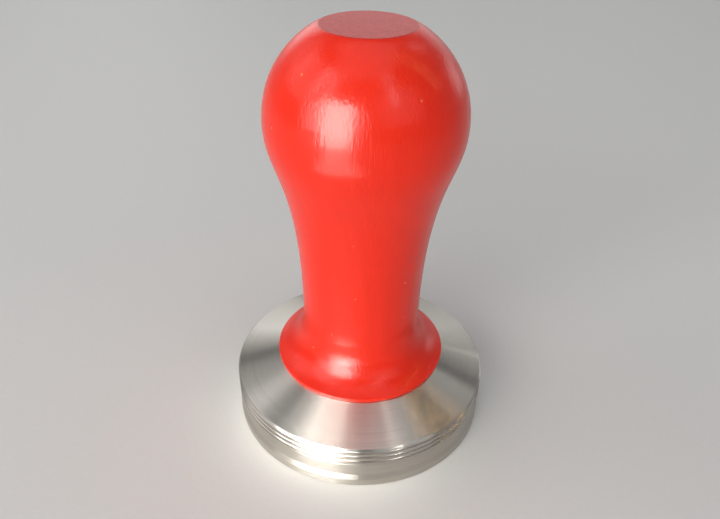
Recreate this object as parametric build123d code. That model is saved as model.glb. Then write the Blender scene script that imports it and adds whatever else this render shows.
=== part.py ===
from build123d import *
import math
import os

# Espresso tamper: a solid turned steel piston with a screwed-on turned handle.
# Millimetres, +Z up the handle, origin at the centre of the flat tamping face.

# ---------------------------------------------------------------- piston
piston_diameter = 58.0         # fits a 58 mm filter basket
wall_height = 11.3             # tamping face to the rim where the cone starts
cone_rise = 3.6                # rim to the flat land under the handle
rim_chamfer = 0.3
lip_height = 1.9               # full-diameter lip next to the tamping face
lip_chamfer = 0.2
bevel_rise = 1.2               # bevel between the lip and the plain band
band_recess = 0.4              # how far the plain band lies inside the lip
groove_count = 4
groove_pitch = 1.36
groove_radius = 0.45           # round-nosed tool, centred on the wall
first_groove_drop = 0.8        # rim down to the middle of the top groove

# ---------------------------------------------------------------- handle
foot_diameter = 38.4
foot_overhang = 0.25           # foot edge past the piston's flat land
foot_edge_height = 1.2
foot_edge_radius = 0.7
waist_diameter = 26.2
waist_rise = 10.6              # heights on the handle are taken from its foot
bulb_diameter = 39.8
bulb_rise = 57.2
facet_diameter = 17.7
handle_height = 75.1
flare_slope = 20.0             # degrees, where the flare leaves the foot edge
crown_slope = 15.0             # degrees, where the crown meets the flat facet

# How far each curve follows its end tangent, as a share of the height it climbs.
flare_share_at_foot = 0.4
flare_share_at_waist = 0.6
neck_share_at_waist = 0.76
neck_share_at_bulb = 0.22
crown_share_at_bulb = 0.66
crown_share_at_facet = 0.11

# ---------------------------------------------------------------- screw joint
thread_diameter = 8.0          # M8 coarse
thread_pitch = 1.25
flank_clearance = 0.06         # between male and female thread, square to the flank
stud_seat_depth = 8.0          # stud below the land, screwed into the piston
stud_reach = 12.0              # stud above the land
stud_end_chamfer = 0.9
stock_allowance = 0.5          # metal outside the stud's thread before it is cut
ridge_overlap = 0.15           # how deep the thread's ridge is rooted in the core
hex_key_width = 4.0
hex_key_depth = 4.5
hole_runout = 1.2              # tapped hole past the end of the stud
drill_point_angle = 118.0
countersink_width = 0.4        # countersink past the thread, at each thread mouth

insert_diameter = 12.0
insert_length = 15.0
glue_groove_count = 3
glue_groove_width = 1.0
glue_groove_depth = 0.6

washer_diameter = 18.0
washer_thickness = 1.0
washer_bore_clearance = 0.3    # washer's hole around the stud
washer_edge_clearance = 0.3    # recess in the foot around the washer

# ---------------------------------------------------------------- derived
piston_radius = piston_diameter / 2
stud_radius = thread_diameter / 2
insert_radius = insert_diameter / 2
land_z = wall_height + cone_rise
land_radius = foot_diameter / 2 - foot_overhang
insert_start_z = land_z + washer_thickness
insert_end_z = insert_start_z + insert_length
thread_depth = 5 / 8 * math.sqrt(3) / 2 * thread_pitch
thread_overrun = 3 * thread_pitch        # tools and rods run this far past the finished work


def upright_cylinder(radius, bottom_z, top_z):
    """A cylinder on the Z axis between two heights."""
    blank = Cylinder(radius, top_z - bottom_z, align=(Align.CENTER, Align.CENTER, Align.MIN))
    return Pos(0, 0, bottom_z) * blank


def upright_cone(bottom_radius, top_radius, bottom_z, top_z):
    """A cone on the Z axis between two heights."""
    blank = Cone(
        bottom_radius, top_radius, top_z - bottom_z, align=(Align.CENTER, Align.CENTER, Align.MIN)
    )
    return Pos(0, 0, bottom_z) * blank


def turned(edges):
    """A solid turned about Z from connected edges drawn in the XZ plane."""
    return revolve(make_face(edges), Axis.Z)


def drill_point_height(radius):
    """Height of the cone that a twist drill leaves at the end of its hole."""
    return radius / math.tan(math.radians(drill_point_angle / 2))


def core_radius(clearance):
    """Radius at the root of a thread with the given clearance."""
    return stud_radius + clearance - thread_depth


def thread_ridge(clearance, low_z, high_z):
    """Helical ridge of a 60 degree thread between two heights.

    It is turned about Z by as much as its start is raised, so every thread on that axis is
    in step with the others, wherever each one starts.
    """
    flank_slope = math.tan(math.radians(30))
    crest_radius = stud_radius + clearance
    inner_radius = core_radius(clearance) - ridge_overlap
    half_crest = thread_pitch / 16 + clearance * flank_slope
    half_foot = half_crest + (crest_radius - inner_radius) * flank_slope
    length = high_z - low_z
    corners = (
        (crest_radius, -half_crest),
        (crest_radius, half_crest),
        (inner_radius, half_foot),
        (inner_radius, -half_foot),
    )
    helices = []
    for radius, rise in corners:
        helices.append(Edge.make_helix(thread_pitch, length, radius, (0, 0, low_z + rise)))
    faces = []
    for index, helix in enumerate(helices):
        faces.append(Face.make_surface_from_curves(helices[index - 1], helix))
    for end in (0, 1):
        outline = Wire.make_polygon([helix.position_at(end) for helix in helices])
        faces.append(Face(outline))
    return Rot(0, 0, 360 * low_z / thread_pitch) * Solid(Shell(faces))


def threaded_rod(clearance, bottom_z, top_z):
    """A plain core between two heights, with a thread that stops just short of its ends.

    A clearance of zero gives the male form. A positive one moves the crest, the root and both
    flanks outwards by that much, which gives the tool that cuts the female form.
    """
    core = upright_cylinder(core_radius(clearance), bottom_z, top_z)
    return core + thread_ridge(clearance, bottom_z + thread_pitch / 2, top_z - thread_pitch / 2)


def countersink(mouth_z, opens_up):
    """The cone that opens a female thread at its mouth."""
    thread_radius = stud_radius + flank_clearance
    mouth_radius = thread_radius + countersink_width
    if opens_up:
        return upright_cone(0, mouth_radius, mouth_z - mouth_radius, mouth_z)
    return upright_cone(mouth_radius, 0, mouth_z, mouth_z + mouth_radius)


def make_base():
    """Steel piston: flat face, lip, plain band, grooved wall, cone and tapped hole."""
    band_radius = piston_radius - band_recess
    lowest_groove_z = wall_height - first_groove_drop - (groove_count - 1) * groove_pitch
    outline = Polyline(
        (0, 0, 0),
        (piston_radius - lip_chamfer, 0, 0),
        (piston_radius, 0, lip_chamfer),
        (piston_radius, 0, lip_height),
        (band_radius, 0, lip_height + bevel_rise),
        (band_radius, 0, lowest_groove_z),
        (piston_radius, 0, lowest_groove_z),
        (piston_radius, 0, wall_height - rim_chamfer),
        (piston_radius - rim_chamfer, 0, wall_height),
        (land_radius, 0, land_z),
        (0, 0, land_z),
        close=True,
    )
    body = turned(outline)
    for index in range(groove_count):
        groove_z = lowest_groove_z + index * groove_pitch
        body -= Pos(0, 0, groove_z) * Torus(piston_radius, groove_radius)

    hole_end_z = land_z - stud_seat_depth - hole_runout
    drill_radius = core_radius(flank_clearance)
    point_z = hole_end_z - drill_point_height(drill_radius)
    body -= countersink(land_z, opens_up=True)
    tap = threaded_rod(flank_clearance, hole_end_z, land_z + thread_overrun)
    return body - (tap + upright_cone(0, drill_radius, point_z, hole_end_z))


def make_stud():
    """Set screw that joins the piston and the handle, with its key socket at the top."""
    bottom_z = land_z - stud_seat_depth
    top_z = land_z + stud_reach
    blank = upright_cylinder(stud_radius + stock_allowance, bottom_z, top_z)
    rings = blank.edges().filter_by(GeomType.CIRCLE)
    blank = chamfer(rings, stud_end_chamfer + stock_allowance)
    key_radius = hex_key_width / math.sqrt(3)
    socket = extrude(RegularPolygon(key_radius, 6), hex_key_depth + stock_allowance)
    blank -= Pos(0, 0, top_z - hex_key_depth) * socket
    return blank & threaded_rod(0, bottom_z - thread_overrun, top_z + thread_overrun)


def make_washer():
    """Rubber washer that keeps the handle from working loose."""
    top_z = land_z + washer_thickness
    ring = upright_cylinder(washer_diameter / 2, land_z, top_z)
    return ring - upright_cylinder(stud_radius + washer_bore_clearance, land_z, top_z)


def make_threaded_insert():
    """Brass bush glued into the handle, threaded for the stud."""
    insert = upright_cylinder(insert_radius, insert_start_z, insert_end_z)
    groove_spacing = insert_length / (glue_groove_count + 1)
    for index in range(glue_groove_count):
        middle_z = insert_start_z + (index + 1) * groove_spacing
        low_z = middle_z - glue_groove_width / 2
        high_z = middle_z + glue_groove_width / 2
        waste = upright_cylinder(insert_radius + glue_groove_depth, low_z, high_z)
        insert -= waste - upright_cylinder(insert_radius - glue_groove_depth, low_z, high_z)
    insert -= countersink(insert_start_z, opens_up=False)
    low_z = insert_start_z - thread_overrun
    high_z = insert_end_z + thread_overrun
    return insert - threaded_rod(flank_clearance, low_z, high_z)


def handle_outline():
    """Half profile of the handle: foot, flare, neck, bulb and crown."""
    foot_radius = foot_diameter / 2
    waist_radius = waist_diameter / 2
    bulb_radius = bulb_diameter / 2
    facet_radius = facet_diameter / 2
    foot_edge_z = land_z + foot_edge_height
    waist_z = land_z + waist_rise
    bulb_z = land_z + bulb_rise
    top_z = land_z + handle_height

    flare_climb = waist_z - foot_edge_z
    flare_run = flare_climb * flare_share_at_foot
    flare_angle = math.radians(flare_slope)
    neck_climb = bulb_z - waist_z
    crown_climb = top_z - bulb_z
    crown_run = crown_climb * crown_share_at_facet
    crown_angle = math.radians(crown_slope)

    foot_edge = (foot_radius, 0, foot_edge_z)
    waist = (waist_radius, 0, waist_z)
    bulb = (bulb_radius, 0, bulb_z)
    facet = (facet_radius, 0, top_z)
    return [
        Line((0, 0, land_z), (foot_radius, 0, land_z)),
        Line((foot_radius, 0, land_z), foot_edge),
        Bezier(
            foot_edge,
            (
                foot_radius - flare_run * math.cos(flare_angle),
                0,
                foot_edge_z + flare_run * math.sin(flare_angle),
            ),
            (waist_radius, 0, waist_z - flare_climb * flare_share_at_waist),
            waist,
        ),
        Bezier(
            waist,
            (waist_radius, 0, waist_z + neck_climb * neck_share_at_waist),
            (bulb_radius, 0, bulb_z - neck_climb * neck_share_at_bulb),
            bulb,
        ),
        Bezier(
            bulb,
            (bulb_radius, 0, bulb_z + crown_climb * crown_share_at_bulb),
            (
                facet_radius + crown_run * math.cos(crown_angle),
                0,
                top_z - crown_run * math.sin(crown_angle),
            ),
            facet,
        ),
        Line(facet, (0, 0, top_z)),
        Line((0, 0, top_z), (0, 0, land_z)),
    ]


def make_handle():
    """Turned wooden handle with a washer recess and a blind hole for the insert."""
    body = turned(handle_outline())
    rings = body.edges().filter_by(GeomType.CIRCLE).sort_by(Axis.Z)
    body = fillet(rings[0], foot_edge_radius)

    recess_radius = washer_diameter / 2 + washer_edge_clearance
    body -= upright_cylinder(recess_radius, land_z, insert_start_z)
    body -= upright_cylinder(insert_radius, insert_start_z, insert_end_z)
    point_z = insert_end_z + drill_point_height(insert_radius)
    body -= upright_cone(insert_radius, 0, insert_end_z, point_z)
    return body


parts = {
    "base": make_base(),
    "stud": make_stud(),
    "washer": make_washer(),
    "threaded_insert": make_threaded_insert(),
    "handle": make_handle(),
}

os.makedirs("parts", exist_ok=True)
for node_name, shape in parts.items():
    export_step(shape, f"parts/{node_name}.step")
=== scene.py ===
"""Looks for a red lacquered espresso tamper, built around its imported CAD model.

The wooden handle, steel piston, stud, brass insert and rubber washer keep their CAD shapes.
This script gives each of them its finish and sets up a plain floor, soft studio light and
the camera.
"""

import logging
import math
from abc import ABC, abstractmethod
from dataclasses import dataclass
from enum import Enum
from typing import Any

import bpy
from mathutils import Matrix, Vector


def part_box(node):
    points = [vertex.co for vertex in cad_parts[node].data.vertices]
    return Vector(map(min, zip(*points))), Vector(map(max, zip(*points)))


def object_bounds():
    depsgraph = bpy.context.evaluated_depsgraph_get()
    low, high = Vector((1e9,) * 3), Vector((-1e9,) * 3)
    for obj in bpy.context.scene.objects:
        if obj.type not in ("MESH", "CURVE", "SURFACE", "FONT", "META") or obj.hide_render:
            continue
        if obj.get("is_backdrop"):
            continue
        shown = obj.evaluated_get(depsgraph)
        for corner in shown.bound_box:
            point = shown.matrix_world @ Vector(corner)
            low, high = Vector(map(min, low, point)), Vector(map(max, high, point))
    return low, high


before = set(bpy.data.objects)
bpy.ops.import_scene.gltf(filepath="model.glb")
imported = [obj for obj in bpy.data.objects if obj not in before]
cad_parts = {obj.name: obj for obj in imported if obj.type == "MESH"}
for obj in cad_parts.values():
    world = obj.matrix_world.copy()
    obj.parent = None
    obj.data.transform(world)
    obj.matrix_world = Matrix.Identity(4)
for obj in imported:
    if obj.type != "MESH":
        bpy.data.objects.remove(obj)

LOG = logging.getLogger("tamper")
MM = 0.001

Colour = tuple[float, float, float, float]
Socket = bpy.types.NodeSocket
Tree = bpy.types.NodeTree


class Piece(Enum):
    """The tamper's pieces, by the names of their CAD nodes."""

    BASE = "base"
    STUD = "stud"
    WASHER = "washer"
    INSERT = "threaded_insert"
    HANDLE = "handle"


def linear(colour: str) -> Colour:
    """Turn an sRGB hex colour into linear RGBA.

    Args:
        colour: six hex digits.

    Returns:
        The linear red, green, blue and an alpha of 1.
    """
    parts = [int(colour[start:start + 2], 16) / 255 for start in (0, 2, 4)]
    red, green, blue = (
        part / 12.92 if part <= 0.04045 else ((part + 0.055) / 1.055) ** 2.4 for part in parts
    )
    return (red, green, blue, 1.0)


def add_node(
    tree: Tree, kind: str, settings: dict[str, Any], inputs: dict[str, Any] | list[Any]
) -> bpy.types.Node:
    """Add one shader node with its settings and links.

    Args:
        tree: the node tree that gets it.
        kind: the node's type name.
        settings: properties of the node itself.
        inputs: what goes into its live inputs, in their order or by their names. A node
            stands for its first live output.

    Returns:
        The new node.
    """
    node = tree.nodes.new(kind)
    for name, value in settings.items():
        setattr(node, name, value)
    live = [socket for socket in node.inputs if socket.enabled]
    if isinstance(inputs, dict):
        by_name = {socket.name: socket for socket in reversed(live)}
        pairs = [(by_name[name], value) for name, value in inputs.items()]
    else:
        pairs = list(zip(live, inputs))
    for socket, value in pairs:
        if isinstance(value, bpy.types.Node):
            value = next(output for output in value.outputs if output.enabled)
        if isinstance(value, Socket):
            tree.links.new(value, socket)
        else:
            socket.default_value = value
    return node


@dataclass(frozen=True)
class Place:
    """Where a shading point lies on its piece, in millimetres."""

    point: Any
    x: Any
    y: Any
    z: Any
    radius: Any

    @classmethod
    def add(cls, tree: Tree) -> "Place":
        """Add the nodes that find the point, and its distance from the turning axis.

        Args:
            tree: the node tree that gets them.

        Returns:
            The point's place.
        """
        coordinates = add_node(tree, "ShaderNodeTexCoord", {}, [])
        point = add_node(
            tree,
            "ShaderNodeVectorMath",
            {"operation": "SCALE"},
            [coordinates.outputs["Object"], 1 / MM],
        )
        x, y, z = add_node(tree, "ShaderNodeSeparateXYZ", {}, [point]).outputs
        flat = add_node(tree, "ShaderNodeCombineXYZ", {}, [x, y])
        length = add_node(tree, "ShaderNodeVectorMath", {"operation": "LENGTH"}, [flat])
        return cls(point, x, y, z, length.outputs["Value"])


@dataclass(frozen=True)
class Grain:
    """Cloudy grain with a real size along X, Y and Z."""

    size_mm: tuple[float, float, float]
    detail: float = 3.0
    sharpness: float = 0.6

    def add(self, tree: Tree, place: Place) -> Socket:
        """Add the nodes of the grain.

        Args:
            tree: the node tree that gets them.
            place: where the point lies.

        Returns:
            The grain, from 0 to 1.
        """
        cells = add_node(
            tree, "ShaderNodeVectorMath", {"operation": "DIVIDE"}, [place.point, self.size_mm]
        )
        cloud = add_node(
            tree,
            "ShaderNodeTexNoise",
            {},
            {"Vector": cells, "Scale": 1.0, "Detail": self.detail, "Roughness": self.sharpness},
        )
        return cloud.outputs["Fac"]


@dataclass(frozen=True)
class LatheMarks:
    """Rings that a lathe tool leaves all round, at an uneven pitch."""

    pitch_mm: float
    detail: float = 3.0

    def add(self, tree: Tree, place: Place) -> Socket:
        """Add the nodes of the rings.

        Args:
            tree: the node tree that gets them.
            place: where the point lies.

        Returns:
            The height of the rings, from 0 to 1.
        """
        profile = add_node(tree, "ShaderNodeCombineXYZ", {}, [place.radius, 0.0, place.z])
        rings = add_node(
            tree,
            "ShaderNodeTexNoise",
            {},
            {
                "Vector": profile,
                "Scale": 1 / self.pitch_mm,
                "Detail": self.detail,
                "Roughness": 0.6,
            },
        )
        return rings.outputs["Fac"]


class Finish(ABC):
    """A surface finish: what the real one is made of and how it was made."""

    name: str

    def build(self) -> bpy.types.Material:
        """Make the material.

        Returns:
            The finished material.
        """
        material = bpy.data.materials.new(self.name)
        material.use_nodes = True
        tree = material.node_tree
        tree.nodes.clear()
        inputs = self.shade(tree, Place.add(tree))
        shader = add_node(tree, "ShaderNodeBsdfPrincipled", {}, inputs)
        add_node(tree, "ShaderNodeOutputMaterial", {}, {"Surface": shader})
        return material

    @abstractmethod
    def shade(self, tree: Tree, place: Place) -> dict[str, Any]:
        """Add the nodes that drive the shader.

        Args:
            tree: the material's node tree.
            place: where the point lies.

        Returns:
            The shader's inputs, by name.
        """


@dataclass(frozen=True)
class TurnedStainless(Finish):
    """Stainless steel, turned on a lathe and left bright.

    The tool leaves fine rings all round, so lights draw out into streaks that run from the
    centre outwards on the cone and straight down the wall. The wall and its grooves are
    skimmed finer than the cone, so they look nearly polished.
    """

    rim_z_mm: float
    name: str = "turned_stainless_steel"
    bright: str = "C6C1B9"
    dull: str = "AFA9A1"
    rings: LatheMarks = LatheMarks(0.35)  # the real feed is near 0.1 mm; coarser so that it shows
    ring_depth_mm: float = 0.004
    smears: Grain = Grain((9.0, 9.0, 9.0), 4.0)  # faint smears of a fingertip's width
    smoothest: float = 0.22
    roughest: float = 0.28
    ring_share: float = 0.4  # how much of the wear lies in the rings; the rest is smears
    wall_share: float = 0.88  # the wall's roughness, as a share of the cone's
    relief_strength: float = 0.6
    anisotropy: float = 1.0
    across_rings: float = 0.25  # a quarter turn, so that the shine is drawn out across the rings

    def shade(self, tree: Tree, place: Place) -> dict[str, Any]:
        """Add the rings, the smears and the drawn-out shine.

        Args:
            tree: the material's node tree.
            place: where the point lies.

        Returns:
            The shader's inputs, by name.
        """
        rings = self.rings.add(tree, place)
        smears = self.smears.add(tree, place)
        colour = add_node(
            tree,
            "ShaderNodeMix",
            {"data_type": "RGBA"},
            [rings, linear(self.dull), linear(self.bright)],
        )
        wear = add_node(
            tree, "ShaderNodeMix", {"data_type": "FLOAT"}, [self.ring_share, smears, rings]
        )
        roughness = add_node(
            tree, "ShaderNodeMapRange", {}, [wear, 0.0, 1.0, self.smoothest, self.roughest]
        )
        share = add_node(
            tree,
            "ShaderNodeMapRange",
            {},
            [place.z, self.rim_z_mm, self.rim_z_mm + self.rings.pitch_mm, self.wall_share, 1.0],
        )
        roughness = add_node(tree, "ShaderNodeMath", {"operation": "MULTIPLY"}, [roughness, share])
        tangent = add_node(
            tree, "ShaderNodeTangent", {"direction_type": "RADIAL", "axis": "Z"}, []
        )
        relief = add_node(
            tree,
            "ShaderNodeBump",
            {},
            {
                "Height": rings,
                "Distance": self.ring_depth_mm * MM,
                "Strength": self.relief_strength,
            },
        )
        return {
            "Base Color": colour,
            "Metallic": 1.0,
            "Roughness": roughness,
            "Anisotropic": self.anisotropy,
            "Anisotropic Rotation": self.across_rings,
            "Tangent": tangent,
            "Normal": relief,
        }


@dataclass(frozen=True)
class LacqueredWood(Finish):
    """Close-grained hardwood, turned, sanded and sprayed with a pigmented red lacquer.

    The lacquer hides the wood's colour, but its film sinks into the pores, so the grain shows
    as fine upright flecks in the gloss. The end grain on the facet drinks more lacquer, so it
    is duller and mottled.
    """

    facet_z_mm: float
    name: str = "red_lacquered_hardwood"
    bright: str = "EE2A0E"
    deep: str = "E7260D"
    facet_tint: str = "BE1E18"
    facet_pale: str = "D4463E"
    nib: str = "FA6A4C"
    ring_width_mm: float = 2.4  # growth rings of a slow-grown hardwood
    pith_mm: tuple[float, float, float] = (-34.0, 21.0, 0.0)  # beside the turned blank
    ring_wander: Grain = Grain((14.0, 14.0, 60.0), 2.0)
    wander_rings: float = 2.0  # how far a ring strays from round, in ring widths
    streaks: Grain = Grain((2.2, 2.2, 26.0), 2.0)
    ring_share: float = 0.25  # how much of the grain lies in the growth rings
    pores: Grain = Grain((0.45, 0.45, 4.0), 1.5)  # real ones are near 0.1 mm wide; coarser to show
    pore_edges: tuple[float, float] = (0.35, 0.75)  # where the grain starts to sink, and its floor
    pore_depth_mm: float = 0.022
    pore_strength: float = 0.8
    end_pores: Grain = Grain((0.7, 0.7, 0.7), 4.0, 0.7)  # cut across, and as coarse as the pores
    mottle_edges: tuple[float, float] = (0.3, 0.7)
    nib_spacing_mm: float = 5.0  # dust nibs caught in the lacquer
    nib_radii: tuple[float, float] = (0.07, 0.035)  # a nib's foot and top, in spacings
    bare_share: float = 0.6  # the share of places that hold no nib
    nib_height_mm: float = 0.03
    nib_strength: float = 0.6
    smoothest: float = 0.34
    roughest: float = 0.46
    facet_roughness: float = 0.5
    facet_edge_mm: float = 0.16
    specular: float = 0.05
    coat: float = 0.6
    coat_roughness: float = 0.18

    def shade(self, tree: Tree, place: Place) -> dict[str, Any]:
        """Add the grain under the lacquer, the nibs in it and the facet.

        Args:
            tree: the material's node tree.
            place: where the point lies.

        Returns:
            The shader's inputs, by name.
        """
        streaks = self.streaks.add(tree, place)
        rings = self.add_growth_rings(tree, place)
        nibs = self.add_nibs(tree, place)
        pores = add_node(
            tree,
            "ShaderNodeMapRange",
            {"interpolation_type": "SMOOTHSTEP"},
            [self.pores.add(tree, place), *self.pore_edges],
        )
        facet = add_node(
            tree,
            "ShaderNodeMapRange",
            {"interpolation_type": "SMOOTHSTEP"},
            [place.z, self.facet_z_mm - self.facet_edge_mm, self.facet_z_mm],
        )
        grain = add_node(
            tree, "ShaderNodeMix", {"data_type": "FLOAT"}, [self.ring_share, streaks, rings]
        )
        colour = add_node(
            tree,
            "ShaderNodeMix",
            {"data_type": "RGBA"},
            [grain, linear(self.deep), linear(self.bright)],
        )
        mottle = add_node(
            tree,
            "ShaderNodeMapRange",
            {},
            [self.end_pores.add(tree, place), *self.mottle_edges],
        )
        end_grain = add_node(
            tree,
            "ShaderNodeMix",
            {"data_type": "RGBA"},
            [mottle, linear(self.facet_tint), linear(self.facet_pale)],
        )
        for mask, tint in ((nibs, linear(self.nib)), (facet, end_grain)):
            colour = add_node(tree, "ShaderNodeMix", {"data_type": "RGBA"}, [mask, colour, tint])
        roughness = add_node(
            tree, "ShaderNodeMapRange", {}, [streaks, 0.0, 1.0, self.smoothest, self.roughest]
        )
        roughness = add_node(
            tree, "ShaderNodeMix", {"data_type": "FLOAT"}, [facet, roughness, self.facet_roughness]
        )
        relief = add_node(
            tree,
            "ShaderNodeBump",
            {"invert": True},
            {
                "Height": pores,
                "Distance": self.pore_depth_mm * MM,
                "Strength": self.pore_strength,
            },
        )
        relief = add_node(
            tree,
            "ShaderNodeBump",
            {},
            {
                "Height": nibs,
                "Distance": self.nib_height_mm * MM,
                "Strength": self.nib_strength,
                "Normal": relief,
            },
        )
        return {
            "Base Color": colour,
            "Roughness": roughness,
            "Specular IOR Level": self.specular,
            "Coat Weight": self.coat,
            "Coat Roughness": self.coat_roughness,
            "Normal": relief,
            "Coat Normal": relief,
        }

    def add_growth_rings(self, tree: Tree, place: Place) -> bpy.types.Node:
        """Add growth rings about the tree's pith, which lies beside the turned blank.

        Args:
            tree: the material's node tree.
            place: where the point lies.

        Returns:
            The rings, from 0 to 1.
        """
        flat = add_node(tree, "ShaderNodeCombineXYZ", {}, [place.x, place.y])
        away = add_node(
            tree, "ShaderNodeVectorMath", {"operation": "DISTANCE"}, [flat, self.pith_mm]
        )
        wander = self.ring_wander.add(tree, place)
        distance = add_node(
            tree,
            "ShaderNodeMath",
            {"operation": "MULTIPLY_ADD"},
            [wander, self.wander_rings * self.ring_width_mm, away.outputs["Value"]],
        )
        turns = add_node(
            tree,
            "ShaderNodeMath",
            {"operation": "MULTIPLY"},
            [distance, 2 * math.pi / self.ring_width_mm],
        )
        wave = add_node(tree, "ShaderNodeMath", {"operation": "SINE"}, [turns])
        return add_node(tree, "ShaderNodeMapRange", {}, [wave, -1.0, 1.0])

    def add_nibs(self, tree: Tree, place: Place) -> bpy.types.Node:
        """Add a few tiny nibs of dust under the lacquer.

        Args:
            tree: the material's node tree.
            place: where the point lies.

        Returns:
            1 on a nib, 0 elsewhere.
        """
        cells = add_node(
            tree,
            "ShaderNodeTexVoronoi",
            {},
            {"Vector": place.point, "Scale": 1 / self.nib_spacing_mm},
        )
        near = add_node(
            tree,
            "ShaderNodeMapRange",
            {"interpolation_type": "SMOOTHSTEP"},
            [cells.outputs["Distance"], *self.nib_radii],
        )
        lottery = add_node(tree, "ShaderNodeSeparateColor", {}, [cells.outputs["Color"]])
        drawn = add_node(
            tree,
            "ShaderNodeMath",
            {"operation": "GREATER_THAN"},
            [lottery.outputs[0], self.bare_share],
        )
        return add_node(tree, "ShaderNodeMath", {"operation": "MULTIPLY"}, [near, drawn])


@dataclass(frozen=True)
class RolledSteel(Finish):
    """Stainless set screw with a rolled thread: burnished flanks and a duller, oily root."""

    name: str = "rolled_stainless_thread"
    bright: str = "B9B8B6"
    dull: str = "8D8B88"
    mottle: Grain = Grain((0.5, 0.5, 0.5), 4.0)  # the real one is near 0.1 mm; coarser to show
    oil: Grain = Grain((3.0, 3.0, 3.0))  # a film in drops as wide as two turns of the thread
    mottle_depth_mm: float = 0.01
    relief_strength: float = 0.4
    smoothest: float = 0.25
    roughest: float = 0.39

    def shade(self, tree: Tree, place: Place) -> dict[str, Any]:
        """Add the mottle of rolled steel and a film of oil.

        Args:
            tree: the material's node tree.
            place: where the point lies.

        Returns:
            The shader's inputs, by name.
        """
        mottle = self.mottle.add(tree, place)
        oil = self.oil.add(tree, place)
        return {
            "Base Color": add_node(
                tree,
                "ShaderNodeMix",
                {"data_type": "RGBA"},
                [oil, linear(self.dull), linear(self.bright)],
            ),
            "Metallic": 1.0,
            "Roughness": add_node(
                tree, "ShaderNodeMapRange", {}, [mottle, 0.0, 1.0, self.smoothest, self.roughest]
            ),
            "Normal": add_node(
                tree,
                "ShaderNodeBump",
                {},
                {
                    "Height": mottle,
                    "Distance": self.mottle_depth_mm * MM,
                    "Strength": self.relief_strength,
                },
            ),
        }


@dataclass(frozen=True)
class MachinedBrass(Finish):
    """Free-cutting brass, turned and tapped: warm, ringed and slightly tarnished."""

    name: str = "machined_brass"
    bright: str = "D8B36A"
    tarnished: str = "A9803F"
    rings: LatheMarks = LatheMarks(0.4)  # the real feed is near 0.1 mm; coarser so that it shows
    ring_depth_mm: float = 0.006
    relief_strength: float = 0.5
    tarnish: Grain = Grain((4.0, 4.0, 4.0), 4.0)  # patches of a few millimetres
    smoothest: float = 0.22
    roughest: float = 0.38

    def shade(self, tree: Tree, place: Place) -> dict[str, Any]:
        """Add the tool's rings and the patches of tarnish.

        Args:
            tree: the material's node tree.
            place: where the point lies.

        Returns:
            The shader's inputs, by name.
        """
        rings = self.rings.add(tree, place)
        tarnish = self.tarnish.add(tree, place)
        return {
            "Base Color": add_node(
                tree,
                "ShaderNodeMix",
                {"data_type": "RGBA"},
                [tarnish, linear(self.tarnished), linear(self.bright)],
            ),
            "Metallic": 1.0,
            "Roughness": add_node(
                tree, "ShaderNodeMapRange", {}, [rings, 0.0, 1.0, self.smoothest, self.roughest]
            ),
            "Normal": add_node(
                tree,
                "ShaderNodeBump",
                {},
                {
                    "Height": rings,
                    "Distance": self.ring_depth_mm * MM,
                    "Strength": self.relief_strength,
                },
            ),
        }


@dataclass(frozen=True)
class NitrileRubber(Finish):
    """Black nitrile sheet, punched to a washer, with a fine matt skin that holds dust."""

    name: str = "black_nitrile_rubber"
    dark: str = "161616"
    dusty: str = "2A2927"
    skin: Grain = Grain((0.6, 0.6, 0.6), 5.0, 0.7)  # as fine as the cloth it was pressed on
    dust: Grain = Grain((5.0, 5.0, 5.0))  # patches of a few millimetres
    skin_depth_mm: float = 0.03
    relief_strength: float = 0.5
    smoothest: float = 0.52
    roughest: float = 0.72

    def shade(self, tree: Tree, place: Place) -> dict[str, Any]:
        """Add the matt skin and the dust on it.

        Args:
            tree: the material's node tree.
            place: where the point lies.

        Returns:
            The shader's inputs, by name.
        """
        skin = self.skin.add(tree, place)
        dust = self.dust.add(tree, place)
        return {
            "Base Color": add_node(
                tree,
                "ShaderNodeMix",
                {"data_type": "RGBA"},
                [dust, linear(self.dark), linear(self.dusty)],
            ),
            "Roughness": add_node(
                tree, "ShaderNodeMapRange", {}, [skin, 0.0, 1.0, self.smoothest, self.roughest]
            ),
            "Normal": add_node(
                tree,
                "ShaderNodeBump",
                {},
                {
                    "Height": skin,
                    "Distance": self.skin_depth_mm * MM,
                    "Strength": self.relief_strength,
                },
            ),
        }


@dataclass(frozen=True)
class PaleLaminate(Finish):
    """Pale laminate board with a fine matt texture, which the tamper stands on."""

    name: str = "pale_matt_laminate"
    light: str = "DEDDDB"
    shade_tint: str = "D9D8D6"
    texture: Grain = Grain((1.2, 1.2, 1.2), 4.0)  # the pressed texture of a matt board
    texture_depth_mm: float = 0.005
    relief_strength: float = 0.3
    roughness: float = 0.55
    specular: float = 0.25

    def shade(self, tree: Tree, place: Place) -> dict[str, Any]:
        """Add the board's fine texture.

        Args:
            tree: the material's node tree.
            place: where the point lies.

        Returns:
            The shader's inputs, by name.
        """
        texture = self.texture.add(tree, place)
        return {
            "Base Color": add_node(
                tree,
                "ShaderNodeMix",
                {"data_type": "RGBA"},
                [texture, linear(self.shade_tint), linear(self.light)],
            ),
            "Roughness": self.roughness,
            "Specular IOR Level": self.specular,
            "Normal": add_node(
                tree,
                "ShaderNodeBump",
                {},
                {
                    "Height": texture,
                    "Distance": self.texture_depth_mm * MM,
                    "Strength": self.relief_strength,
                },
            ),
        }


def dress(piece: Piece, finish: Finish) -> None:
    """Give a CAD node its finish, on every material slot that it has.

    Args:
        piece: which piece.
        finish: its finish.
    """
    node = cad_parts[piece.value]
    material = finish.build()
    if not node.material_slots:
        node.data.materials.append(material)
    for slot in node.material_slots:
        slot.material = material
    low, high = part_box(piece.value)
    LOG.info("%s: %s, z %.1f to %.1f mm", piece.value, finish.name, low.z / MM, high.z / MM)


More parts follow.
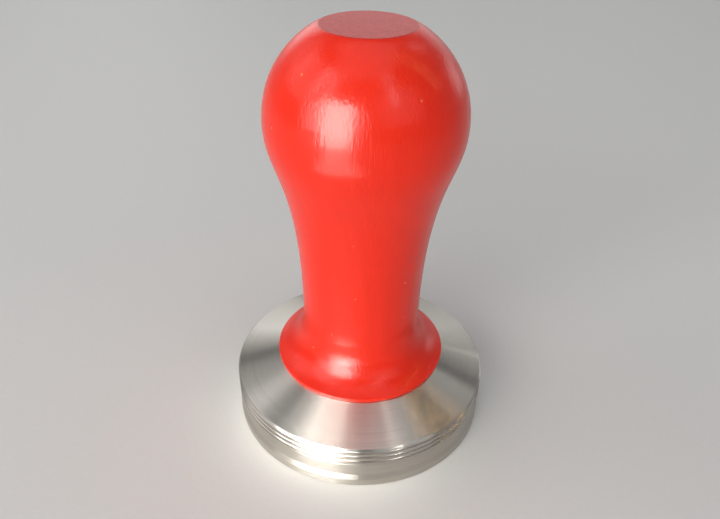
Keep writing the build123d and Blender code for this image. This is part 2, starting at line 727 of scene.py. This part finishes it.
@dataclass(frozen=True)
class Piston:
    """The turned steel piston and the stud that is screwed into it."""

    thread: Finish = RolledSteel()
    full_share: float = 0.999  # a point this near to the full radius lies on the wall

    def build(self) -> None:
        """Dress the piston's nodes."""
        dress(Piece.BASE, TurnedStainless(self.rim_height() / MM))
        dress(Piece.STUD, self.thread)

    def rim_height(self) -> float:
        """Find the top of the wall, where the cone starts.

        Returns:
            The height of the highest point at full radius.
        """
        points = [vertex.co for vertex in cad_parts[Piece.BASE.value].data.vertices]
        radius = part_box(Piece.BASE.value)[1].x
        return max(point.z for point in points if point.xy.length > self.full_share * radius)


@dataclass(frozen=True)
class Seal:
    """The rubber washer between the piston and the handle."""

    rubber: Finish = NitrileRubber()

    def build(self) -> None:
        """Dress the washer."""
        dress(Piece.WASHER, self.rubber)


@dataclass(frozen=True)
class Handle:
    """The turned wooden handle and the brass insert that is glued into it."""

    brass: Finish = MachinedBrass()

    def build(self) -> None:
        """Dress the handle's nodes."""
        facet_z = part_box(Piece.HANDLE.value)[1].z
        dress(Piece.HANDLE, LacqueredWood(facet_z / MM))
        dress(Piece.INSERT, self.brass)


class Stand(Enum):
    """How a light is set up in the studio."""

    RAISED = "raised, and turned towards the tamper"
    UPRIGHT = "standing on the floor, facing level"
    FLAT = "lying on the floor, facing up"


@dataclass(frozen=True)
class Softbox:
    """One soft studio light, which faces the tamper unless its stand says otherwise.

    Azimuth is counted from +X towards +Y, in degrees, and sizes are in metres.
    """

    name: str
    azimuth: float
    elevation: float
    distance: float
    width: float
    height: float
    radiance: float
    tint: str = "FFFFFF"
    fills: bool = True  # False for a narrow light that shows in gloss and adds no fill
    stand: Stand = Stand.RAISED
    spread: float = 180.0  # degrees; a narrow one shines straight ahead and little upwards

    def build(self, aim: Vector, floor_z: float) -> None:
        """Make the light.

        Args:
            aim: the point that it faces.
            floor_z: the floor's height.
        """
        turn, lift = math.radians(self.azimuth), math.radians(self.elevation)
        reach = math.cos(lift)
        away = Vector((reach * math.cos(turn), reach * math.sin(turn), math.sin(lift)))
        lamp = bpy.data.lights.new(self.name, "AREA")
        lamp.shape = "RECTANGLE"
        lamp.size = self.width
        lamp.size_y = self.height
        lamp.energy = self.radiance * math.pi * self.width * self.height
        lamp.color = linear(self.tint)[:3]
        lamp.spread = math.radians(self.spread)
        light = bpy.data.objects.new(self.name, lamp)
        light.location = aim + away * self.distance
        light.rotation_euler = away.to_track_quat("Z", "Y").to_euler()
        if self.stand is Stand.UPRIGHT:
            light.location.z = floor_z + self.height / 2
        if self.stand is Stand.FLAT:
            light.location.z = floor_z + MM
            light.rotation_euler = (math.pi, 0.0, turn + math.pi / 2)
        light.visible_camera = False
        light.visible_diffuse = self.fills
        bpy.context.scene.collection.objects.link(light)
        LOG.info("%s: azimuth %.0f, elevation %.0f", self.name, self.azimuth, self.elevation)


@dataclass(frozen=True)
class Studio:
    """Pale floor, soft lights and a plain surround."""

    floor_half_width: float = 3.0
    zenith: str = "7A7C7E"
    horizon: str = "A0A1A2"
    laminate: Finish = PaleLaminate()
    dark_height: float = 0.75  # the sine of the elevation from which the surround is darkest
    lights: tuple[Softbox, ...] = (
        # name, azimuth, elevation, distance, width, height, radiance, tint, fills, stand, spread
        Softbox("window", -122, 17, 1.0, 0.75, 0.62, 5.2, "FFFCF6"),
        Softbox("window_core", -120, 15, 0.3, 0.17, 0.25, 14.5, "FFFCF6", False),
        Softbox("window_glow", -118, 0, 0.2, 0.1, 0.2, 3.6, "FFFCF6", False, Stand.FLAT),
        Softbox("foot_glow", -116, 0, 0.07, 0.07, 0.022, 2.0, "FFFCF6", False, Stand.UPRIGHT, 60),
        Softbox("window_left_pane", -150, 15, 0.98, 0.3, 0.5, 4.0, "FFFFFF", False),
        Softbox("window_side_pane", -95, 15, 1.0, 0.16, 0.5, 2.0, "FFFFFF", False),
        Softbox("left_strip_near", -143, 45, 1.0, 0.03, 0.5, 15.0, "FFFFFF", False),
        Softbox("left_strip_far", -160, 45, 1.0, 0.03, 0.5, 16.0, "FFFFFF", False),
        Softbox("left_wall", 178, 35, 1.0, 0.7, 0.6, 1.1),
        Softbox("left_back", 150, 35, 1.0, 0.5, 0.5, 0.6, "FFFFFF", False),
        Softbox("right_strip", -53, 45, 1.0, 0.02, 0.5, 18.0, "FFFFFF", False),
        Softbox("right_fill", -50, 30, 1.0, 0.8, 0.6, 0.6),
        Softbox("right_lamp", 9, 45, 1.0, 0.006, 0.8, 36.0, "FFD08A", False),
        Softbox("right_pane", 40, 45, 1.0, 0.12, 0.3, 1.4, "FFFFFF", False),
        Softbox("right_window", 42, 8, 1.0, 0.3, 0.3, 1.3, "FFFFFF", False),
        Softbox("back_wall", 90, 16, 1.0, 1.5, 0.5, 0.5),
        Softbox("back_right", 70, 20, 0.99, 0.25, 0.5, 0.3, "FFFFFF", False),
        Softbox("back_left", 112, 20, 0.99, 0.3, 0.5, 1.0, "FFFFFF", False),
        Softbox("overhead", -90, 86, 1.0, 0.9, 0.9, 0.8),
    )

    def build(self) -> None:
        """Make the floor, lights and surround."""
        low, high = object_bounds()
        for light in self.lights:
            light.build((low + high) / 2, low.z)
        self.build_floor(low.z)
        self.build_surround()

    def build_floor(self, floor_z: float) -> None:
        """Make the floor.

        Args:
            floor_z: its height.
        """
        half = self.floor_half_width
        mesh = bpy.data.meshes.new("studio_floor")
        corners = [
            (-half, -half, floor_z),
            (half, -half, floor_z),
            (half, half, floor_z),
            (-half, half, floor_z),
        ]
        mesh.from_pydata(corners, [], [(0, 1, 2, 3)])
        mesh.materials.append(self.laminate.build())
        floor = bpy.data.objects.new("studio_floor", mesh)
        bpy.context.scene.collection.objects.link(floor)
        floor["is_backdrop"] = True

    def build_surround(self) -> None:
        """Make a plain surround, paler at the horizon than overhead."""
        world = bpy.data.worlds.new("studio_surround")
        bpy.context.scene.world = world
        world.use_nodes = True
        tree = world.node_tree
        tree.nodes.clear()
        direction = add_node(tree, "ShaderNodeTexCoord", {}, []).outputs["Generated"]
        height = add_node(tree, "ShaderNodeSeparateXYZ", {}, [direction]).outputs["Z"]
        rise = add_node(tree, "ShaderNodeMapRange", {}, [height, 0.0, self.dark_height])
        colour = add_node(
            tree,
            "ShaderNodeMix",
            {"data_type": "RGBA"},
            [rise, linear(self.horizon), linear(self.zenith)],
        )
        background = add_node(tree, "ShaderNodeBackground", {}, {"Color": colour})
        add_node(tree, "ShaderNodeOutputWorld", {}, {"Surface": background})


@dataclass(frozen=True)
class Viewpoint:
    """A hand-held view from the front and above, close to the tamper.

    Angles are in degrees. The elevation is seen from the middle of the piston, near its rim.
    """

    distance: float = 0.1663
    elevation: float = 42.39
    target_z: float = 0.0113
    lens_dip: float = 34.36  # how far below the horizon the lens points
    pan: float = 0.24
    roll: float = 1.3
    focal_length: float = 34.0
    sensor_width: float = 36.0
    nearest: float = 0.01
    farthest: float = 20.0

    def build(self) -> None:
        """Make the camera and set it as the scene's own."""
        lift = math.radians(self.elevation)
        centre = (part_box(Piece.BASE.value)[0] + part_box(Piece.BASE.value)[1]) / 2
        place = Vector(
            (
                centre.x,
                centre.y - math.cos(lift) * self.distance,
                self.target_z + math.sin(lift) * self.distance,
            )
        )
        camera = bpy.data.cameras.new("viewpoint")
        camera.lens = self.focal_length
        camera.sensor_width = self.sensor_width
        camera.clip_start = self.nearest
        camera.clip_end = self.farthest
        holder = bpy.data.objects.new("viewpoint", camera)
        pan = Matrix.Rotation(math.radians(self.pan), 4, "Z")
        pitch = Matrix.Rotation(math.radians(90 - self.lens_dip), 4, "X")
        roll = Matrix.Rotation(math.radians(self.roll), 4, "Z")
        holder.matrix_world = Matrix.Translation(place) @ pan @ pitch @ roll
        bpy.context.scene.collection.objects.link(holder)
        bpy.context.scene.camera = holder


def main() -> None:
    """Dress the tamper and set up the studio."""
    logging.basicConfig(level=logging.INFO, format="%(name)s: %(message)s")
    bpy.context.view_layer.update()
    bpy.context.scene.view_settings.view_transform = "Standard"
    Piston().build()
    Seal().build()
    Handle().build()
    Studio().build()
    Viewpoint().build()


if __name__ == "__main__":
    main()
